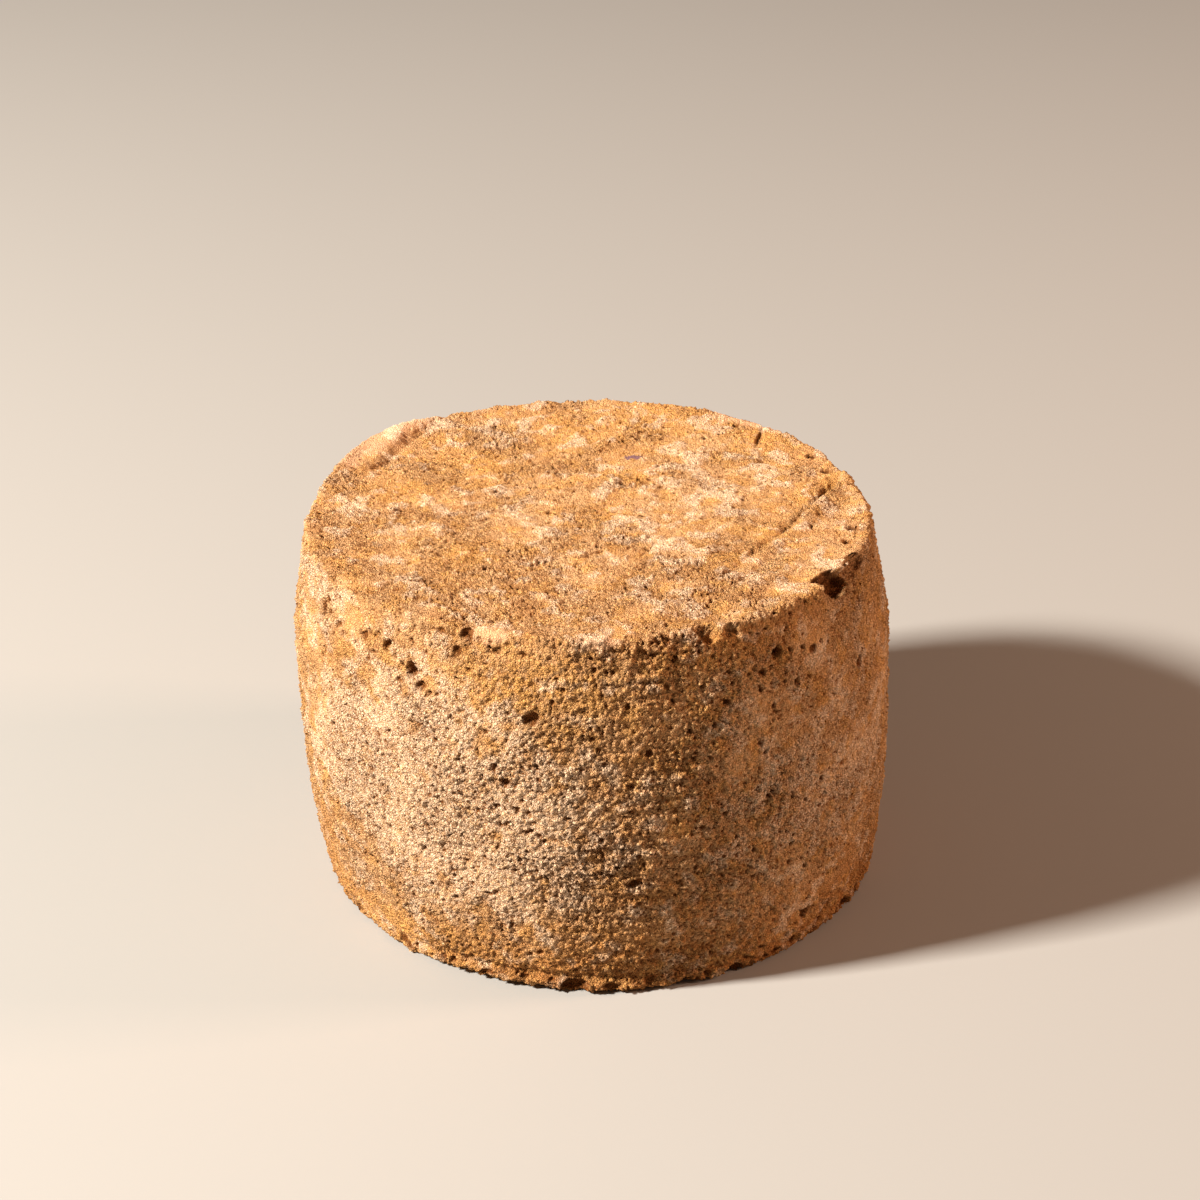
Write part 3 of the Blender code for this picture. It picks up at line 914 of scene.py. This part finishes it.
def patches_on_side(rind, patches):
    """How much of each side patch there is at each point."""
    total = np.zeros(len(rind.even))
    for azimuth, height, half_width, half_height, strength in patches:
        here = bell(turn_between(rind.azimuth, azimuth), half_width) * bell(rind.height - height, half_height)
        total += strength * here
    return total * (1 - rind.on_top)


def patches_on_top(rind, patches):
    """How much of the top's patches there is at each point."""
    total = np.zeros(len(rind.even))
    for across, back, radius in patches:
        offset = np.hypot(rind.even[:, 0] - across * MM, rind.even[:, 1] - back * MM)
        total = np.maximum(total, bell(offset, radius * MM))
    return total * rind.on_top


def bloom_crusts(rind):
    """Crusts of pale bloom, thickest at the places that the lists give."""
    patchy = fractal(rind.domain, BLOOM_PATCH, BLOOM_OCTAVES)
    drawn = np.clip(patches_on_side(rind, SIDE_BLOOMS), 0, 1)
    on_side = SIDE_BLOOM_PULL * drawn + SIDE_BLOOM_SCATTER * patchy
    on_top = BLOOM_PULL * patches_on_top(rind, TOP_BLOOMS) + patchy
    side, top = soft_step(*SIDE_BLOOM_LIMITS, on_side), soft_step(*BLOOM_LIMITS, on_top)
    return side + (top - side) * rind.on_top


def fleck_on_top(rind):
    """How much of the violet fleck there is at each point."""
    across = (rind.even[:, 0] - FLECK_PLACE[0]) / FLECK_SIZE[0]
    back = (rind.even[:, 1] - FLECK_PLACE[1]) / FLECK_SIZE[1]
    outline = np.hypot(across, back) + FLECK_RAGGEDNESS[1] * noise_at(rind.domain, FLECK_RAGGEDNESS[0], 71.0)
    return soft_step(*FLECK_LIMITS, outline) * rind.on_top


def coarseness(rind):
    """How coarse the grain is: most low on the side, and in patches on the top."""
    on_side = SIDE_RELIEF + COARSE_RELIEF * bell(rind.height - COARSE_HEIGHT, COARSE_REACH)
    on_side += COARSE_PATCH[1] * noise_at(rind.domain, COARSE_PATCH[0], 3.0)
    along = rind.even[:, :2] @ np.array(GRANULE_DIRECTION)
    patches = noise_at(rind.domain, GRANULE_PATCH, 83.0) + GRANULE_PULL * soft_step(*GRANULE_SPREAD, along)
    on_top = SMOOTH_TOP_RELIEF + (GRAINY_TOP_RELIEF - SMOOTH_TOP_RELIEF) * soft_step(*GRANULE_LIMITS, patches)
    relief = np.maximum(on_side + (on_top - on_side) * rind.on_top, LEAST_RELIEF)
    return relief * (1 - SMOOTHING * rind.smooth)


def roughen(rind):
    """Raise the grain of the rind."""
    on_side = 1 - rind.on_top
    coarse = coarseness(rind)
    depth = np.zeros(len(rind.even))
    for size, relief in GRAINS:
        grain = grain_at(rind.domain, size)
        depth += relief * (grain - 0.5)
        # Paint shade into the valleys between the grains
        rind.crevice_shade += soft_step(*CREVICE_SHADE_LIMITS, grain) / len(GRAINS)
    for size, relief in ROUGHS:
        depth += relief * noise_at(rind.domain, size, 21.0)
    depth += TOP_SWELLS[1] * noise_at(rind.domain, TOP_SWELLS[0], 51.0) * rind.on_top
    rows = bell(turn_between(rind.azimuth, ROWS_AZIMUTH), ROWS_HALF_WIDTH) * on_side
    depth += ROWS_RELIEF * rows * np.sin(math.tau * rind.height / ROWS_SPACING)
    foot = bell(rind.height - FOOT_CRAG_HEIGHT, FOOT_CRAG_REACH)
    depth += FOOT_CRAGS[1] * noise_at(rind.domain, FOOT_CRAGS[0], 41.0) * foot
    crust = CRUST_ON_SIDE + (CRUST_ON_TOP - CRUST_ON_SIDE) * rind.on_top
    rind.bloom = bloom_crusts(rind)
    rind.push(depth * coarse + crust * rind.bloom + edge_relief(rind))
    # The painted shade between grains is deeper where the grain is coarse
    rind.crevice_shade *= np.clip(coarse, 0, MOST_CREVICE_SHADE)
    rind.relief = coarse


def edge_relief(rind):
    """Knobs along the top's edge, with hollows under them and painted shade in the hollows."""
    band = bell(rind.from_rim, EDGE_BAND) * (1 - EDGE_SMOOTHING * rind.smooth)
    near = band > 0.02
    depth = np.zeros(len(rind.even))
    stretches = soft_step(*EDGE_STRETCH_LIMITS, noise_at(rind.domain[near], EDGE_STRETCH, 17.0))
    depth[near] = EDGE_KNOBS[1] * (grain_at(rind.domain[near], EDGE_KNOBS[0]) - 0.5) * band[near] * stretches
    here = bell(turn_between(rind.azimuth, RECESS_AZIMUTH), RECESS_HALF_WIDTH)
    here = RECESS_ELSEWHERE + (1 - RECESS_ELSEWHERE) * here
    hollow = bell(rind.height - RECESS_HEIGHT, RECESS_TALLNESS) * (1 - rind.on_top)
    hollow *= here * soft_step(*RECESS_LIMITS, noise_at(rind.domain, RECESS_PATCH, 13.0))
    # Paint shade into the hollows under the edge
    rind.crevice_shade += RECESS_SHADE * hollow
    return depth - RECESS_DEPTH * hollow


def press_creases(rind):
    """Press the creases into the top, raise their shoulders, and paint shade into their grooves."""
    for crease in TOP_CREASES:
        groove, shoulder = route_fall(rind.even, crease)
        on_top = (rind.height > HEIGHT - EDGE_ROUNDING).astype(float)
        rind.push((shoulder - groove) * on_top)
        # Paint shade into the creases' grooves
        rind.crevice_shade = np.maximum(rind.crevice_shade, on_top * np.clip(groove / MM, 0, 1) * crease.shade_strength)


def detail(rind):
    """Everything that is cut into the rind."""
    draw = np.random.default_rng(SEED)
    noise.seed_set(SEED)
    roughen(rind)
    press_creases(rind)
    above_foot = soft_step(*SPECK_START, rind.height) * (1 - rind.on_top)
    scattered_specks(rind, draw, SIDE_SPECKS, above_foot)
    scattered_specks(rind, draw, TOP_SPECKS, rind.on_top)
    random_pits(rind, draw, EDGE_NICKS, EDGE_NICK_AZIMUTHS, EDGE_NICK_HEIGHTS, EDGE_NICK_SHADE)
    random_pits(rind, draw, FAR_NICKS, ALL_ROUND, FAR_NICK_HEIGHTS, FAR_NICK_SHADE)
    random_pits(rind, draw, FOOT_NICKS, ALL_ROUND, FOOT_NICK_HEIGHTS)
    random_pits(rind, draw, BACK_PITS, BACK_AZIMUTHS, BACK_HEIGHTS)
    for number, pit in enumerate(SMALL_PITS):
        carve_side(rind, pit, number)
    for number, pit in enumerate(TOP_PITS):
        carve_top(rind, pit, number)
    for pit in LARGE_PITS:
        place = side_place(pit.azimuth, pit.height * MM)
        carve_ragged(rind, pit, place, side_axes(pit.azimuth, pit.turn), PIT_LOBES, draw, 1.0)
    for chip in EDGE_CHIPS:
        place = side_place(chip.azimuth, HEIGHT - chip.down * MM, chip.inset * MM)
        axes = side_axes(chip.azimuth, chip.turn, CHIP_SLANT)
        carve_ragged(rind, chip, place, axes, CHIP_LOBES, draw, chip.shade_strength)


def paint_attribute(mesh, name, values):
    """Store one number for each point, for the material to read."""
    attribute = mesh.attributes.new(name, "FLOAT", "POINT")
    attribute.data.foreach_set("value", np.clip(values, 0.0, 1.0).astype(np.float32))


def rind_piece():
    """The detailed rind as a Blender object, in the place of the solid."""
    grid = even_wheel()
    rind = Rind(grid.points, grid.faces)
    detail(rind)
    low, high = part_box("cheese_wheel")
    form_low, form_high = rind.form.min(0), rind.form.max(0)
    middle = (np.array(low) + np.array(high) - form_low - form_high) / 2
    rind.points += np.array([middle[0], middle[1], low.z - form_low[2]])
    rind.points[:, 2] = np.maximum(rind.points[:, 2], low.z)
    mesh = bpy.data.meshes.new("rind")
    mesh.from_pydata(rind.points, [], grid.faces)
    mesh.shade_smooth()
    corners = np.concatenate(grid.corners)
    corners = (corners - corners.min(0)) / (corners.max(0) - corners.min(0)).max()
    flat_map = mesh.uv_layers.new(name="OFBake")
    flat_map.data.foreach_set("uv", corners.astype(np.float32).reshape(-1))
    painted = {
        # The first two hold painted shade: in pits, chips and nicks; in creases, hollows and grain valleys
        "pit": rind.pit,
        "crevice_shade": rind.crevice_shade,
        "bloom": rind.bloom,
        "ochre": patches_on_side(rind, SIDE_OCHRES) + patches_on_top(rind, TOP_OCHRES),
        # Partly browner rind, partly painted shade low on the side and at the foot
        "brown_and_shade": patches_on_side(rind, SIDE_BROWNS_AND_SHADE),
        "relief": rind.relief / MOST_RELIEF,
        "smooth": rind.smooth,
        "fleck": fleck_on_top(rind),
    }
    for name, values in painted.items():
        paint_attribute(mesh, name, values)
    piece = bpy.data.objects.new("rind", mesh)
    bpy.context.scene.collection.objects.link(piece)
    return piece


class Nodes:
    """A material's nodes, each made by a short call."""

    def __init__(self, name):
        self.material = bpy.data.materials.new(name)
        self.material.use_nodes = True
        self.tree = self.material.node_tree
        self.shader = self.tree.nodes["Principled BSDF"]
        self.place = self.new("TexCoord").outputs["Object"]

    def new(self, kind):
        return self.tree.nodes.new("ShaderNode" + kind)

    def put(self, socket, value):
        """Link a socket, or set it to a number or colour."""
        if isinstance(value, bpy.types.NodeSocket):
            self.tree.links.new(value, socket)
        elif isinstance(value, tuple) and len(value) == 3:
            socket.default_value = (*value, 1.0)
        else:
            socket.default_value = value

    def attribute(self, name):
        node = self.new("Attribute")
        node.attribute_name = name
        return node.outputs["Fac"]

    def noise(self, size, detail=3.0, roughness=0.55):
        """Noise with lumps of a size in metres, around 0.5."""
        node = self.new("TexNoise")
        self.put(node.inputs["Vector"], self.place)
        self.put(node.inputs["Scale"], 1 / size)
        self.put(node.inputs["Detail"], detail)
        self.put(node.inputs["Roughness"], roughness)
        return node.outputs["Fac"]

    def ramp(self, value, low, high):
        """0 under low, 1 over high, and smooth between."""
        node = self.new("MapRange")
        node.interpolation_type = "SMOOTHSTEP"
        self.put(node.inputs["Value"], value)
        self.put(node.inputs["From Min"], low)
        self.put(node.inputs["From Max"], high)
        return node.outputs["Result"]

    def math(self, operation, first, second):
        node = self.new("Math")
        node.operation = operation
        self.put(node.inputs[0], first)
        self.put(node.inputs[1], second)
        return node.outputs["Value"]

    def times(self, first, second):
        return self.math("MULTIPLY", first, second)

    def mix(self, factor, first, second):
        """Mix two colours."""
        node = self.new("Mix")
        node.data_type = "RGBA"
        self.put(node.inputs["Factor"], factor)
        self.put(node.inputs["A"], first)
        self.put(node.inputs["B"], second)
        return node.outputs["Result"]

    def bend(self, size, reach):
        """Turn and bend the places that all later textures read, so that none follows an axis."""
        turned = self.new("Mapping")
        self.put(turned.inputs["Vector"], self.place)
        turned.inputs["Rotation"].default_value = GRAIN_TURN
        noise_node = self.new("TexNoise")
        self.put(noise_node.inputs["Vector"], turned.outputs["Vector"])
        self.put(noise_node.inputs["Scale"], 1 / size)
        bent = self.new("VectorMath")
        bent.operation = "MULTIPLY_ADD"
        self.put(bent.inputs[0], noise_node.outputs["Color"])
        bent.inputs[1].default_value = (reach, reach, reach)
        self.put(bent.inputs[2], turned.outputs["Vector"])
        self.place = bent.outputs["Vector"]

    def grains(self, size, feature="F1"):
        """Grains of a size, as a Voronoi node."""
        node = self.new("TexVoronoi")
        node.feature = feature
        self.put(node.inputs["Vector"], self.place)
        self.put(node.inputs["Scale"], 1 / size)
        return node

    def own_share(self, grains):
        """A number from 0 to 1 that is each grain's own."""
        node = self.new("SeparateColor")
        self.put(node.inputs["Color"], grains.outputs["Color"])
        return node.outputs["Red"]

    def specks(self, size, share):
        """Small round specks, one in a share of the grains of a size."""
        node = self.grains(size)
        chosen = self.math("LESS_THAN", self.own_share(node), share)
        return self.times(chosen, self.ramp(node.outputs["Distance"], 0.30, 0.14))

    def bump(self, height, depth):
        node = self.new("Bump")
        self.put(node.inputs["Strength"], 1.0)
        self.put(node.inputs["Distance"], depth)
        self.put(node.inputs["Height"], height)
        return node.outputs["Normal"]


def rind_material():
    """Dry ochre rind: tan, deeper stretches, a pale bloom on the grains, and painted shade in pits and
    cracks.
    """
    nodes = Nodes("dry rind")
    nodes.bend(*FINE_BEND)
    relief = nodes.times(nodes.attribute("relief"), MOST_RELIEF)
    own = nodes.own_share(nodes.grains(FINE_GRAIN))
    edge = nodes.grains(FINE_GRAIN, "DISTANCE_TO_EDGE").outputs["Distance"]
    tallness = nodes.math("ADD", nodes.times(own, 0.6), 0.4)
    grain = nodes.times(nodes.ramp(edge, 0.0, 0.24), tallness)
    # Painted shade along the grains' edges, in patches
    cracked = nodes.ramp(nodes.noise(2.5 * MM), 0.38, 0.58)
    crack_shade = nodes.times(nodes.ramp(edge, CRACK_WIDTH, 0.0), cracked)
    speck = nodes.specks(SPECK_SIZE, SPECK_SHARE)
    colour = nodes.mix(nodes.ramp(nodes.noise(16 * MM), 0.40, 0.64), TAN, DEEP_TAN)
    golden = nodes.times(nodes.ramp(nodes.noise(7 * MM, 5.0, 0.6), 0.48, 0.62), MOST_GOLDEN)
    colour = nodes.mix(golden, colour, OCHRE)
    ochre = nodes.times(nodes.attribute("ochre"), nodes.ramp(nodes.noise(3 * MM, 4.0), 0.36, 0.54))
    colour = nodes.mix(ochre, colour, OCHRE)
    # Browner stretches, partly painted shade low on the side and at the foot
    brown_and_shade = nodes.times(nodes.attribute("brown_and_shade"), nodes.ramp(nodes.noise(4 * MM, 4.0), 0.30, 0.60))
    colour = nodes.mix(brown_and_shade, colour, BROWN_AND_SHADE)
    rust = nodes.times(nodes.ramp(nodes.noise(2.6 * MM, 4.0), 0.60, 0.72), MOST_RUST)
    colour = nodes.mix(rust, colour, RUST)
    colour = nodes.mix(nodes.times(nodes.attribute("smooth"), MOST_FLESH), colour, FLESH)
    broken = nodes.math("ADD", nodes.noise(1.6 * MM, 4.0, 0.6), nodes.times(grain, 0.15))
    broken = nodes.math("ADD", nodes.times(nodes.ramp(broken, 0.42, 0.64), 0.60), 0.35)
    colour = nodes.mix(nodes.times(nodes.attribute("bloom"), broken), colour, BLOOM)
    # Painted shade: cracks and specks, scaled by the relief, plus the painted crevices and creases
    speck_shade = nodes.times(speck, SPECK_SHADE)
    painted_shade = nodes.math("ADD", nodes.times(crack_shade, CRACK_SHADE), speck_shade)
    painted_shade = nodes.math("ADD", nodes.times(painted_shade, relief), nodes.attribute("crevice_shade"))
    colour = nodes.mix(nodes.times(painted_shade, CREVICE_SHADE_MIX), colour, CREVICE_SHADE_COLOUR)
    colour = nodes.mix(nodes.attribute("fleck"), colour, VIOLET)
    # Painted shade in pits, chips and nicks
    colour = nodes.mix(nodes.times(nodes.attribute("pit"), PIT_SHADE_MIX), colour, PIT_SHADE_COLOUR)
    nodes.put(nodes.shader.inputs["Base Color"], colour)
    nodes.shader.inputs["Roughness"].default_value = RIND_ROUGHNESS
    nodes.shader.inputs["Specular IOR Level"].default_value = RIND_SPECULAR
    fine = nodes.math("ADD", nodes.times(nodes.noise(0.5 * MM, 3.0, 0.6), 0.8), grain)
    fine = nodes.times(nodes.math("SUBTRACT", fine, speck), relief)
    nodes.put(nodes.shader.inputs["Normal"], nodes.bump(fine, FINE_BUMP))
    return nodes.material


def plain_material(name, colour, roughness):
    nodes = Nodes(name)
    nodes.put(nodes.shader.inputs["Base Color"], colour)
    nodes.shader.inputs["Roughness"].default_value = roughness
    return nodes.material


def add_floor():
    """A wide pale floor."""
    corners = [(x * FLOOR_HALF, y * FLOOR_HALF, 0) for x, y in ((-1, -1), (1, -1), (1, 1), (-1, 1))]
    mesh = bpy.data.meshes.new("floor")
    mesh.from_pydata(corners, [], [(0, 1, 2, 3)])
    floor = bpy.data.objects.new("floor", mesh)
    floor.data.materials.append(plain_material("pale floor", FLOOR_COLOUR, FLOOR_ROUGHNESS))
    bpy.context.scene.collection.objects.link(floor)


def add_light(name, azimuth, elevation, distance, size, watts, colour):
    """A square soft light that faces the wheel."""
    lamp = bpy.data.lights.new(name, "AREA")
    lamp.shape = "SQUARE"
    lamp.size = size
    lamp.energy = watts
    lamp.color = colour
    light = bpy.data.objects.new(name, lamp)
    turn, rise = math.radians(azimuth), math.radians(elevation)
    direction = Vector((math.sin(turn) * math.cos(rise), -math.cos(turn) * math.cos(rise), math.sin(rise)))
    target = Vector((0.0, 0.0, HEIGHT / 2))
    light.location = target + distance * direction
    light.rotation_euler = direction.to_track_quat("Z", "Y").to_euler()
    bpy.context.scene.collection.objects.link(light)


def add_studio():
    """One key from the left, a weak warm fill from the right, and a pale surround."""
    add_light("key", *KEY)
    add_light("fill", *FILL)
    world = bpy.data.worlds.new("studio")
    world.use_nodes = True
    background = world.node_tree.nodes["Background"]
    background.inputs["Color"].default_value = SURROUND_COLOUR
    background.inputs["Strength"].default_value = SURROUND_STRENGTH
    bpy.context.scene.world = world


def add_camera():
    """The camera at the photo's angle."""
    lens = bpy.data.cameras.new("camera")
    lens.lens = CAMERA_LENS
    lens.sensor_width = SENSOR_WIDTH
    camera = bpy.data.objects.new("camera", lens)
    rise = math.radians(CAMERA_ELEVATION)
    camera.location = (
        CAMERA_OFFSET[0],
        -CAMERA_DISTANCE * math.cos(rise),
        HEIGHT / 2 + CAMERA_OFFSET[1] + CAMERA_DISTANCE * math.sin(rise),
    )
    camera.rotation_euler = (math.radians(90 - CAMERA_PITCH), 0.0, 0.0)
    bpy.context.scene.collection.objects.link(camera)
    bpy.context.scene.camera = camera


add_camera()
add_studio()
add_floor()
wheel = rind_piece()
wheel.data.materials.append(rind_material())
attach(wheel, "root")
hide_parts("cheese_wheel")
bpy.context.scene.view_settings.view_transform = "Standard"
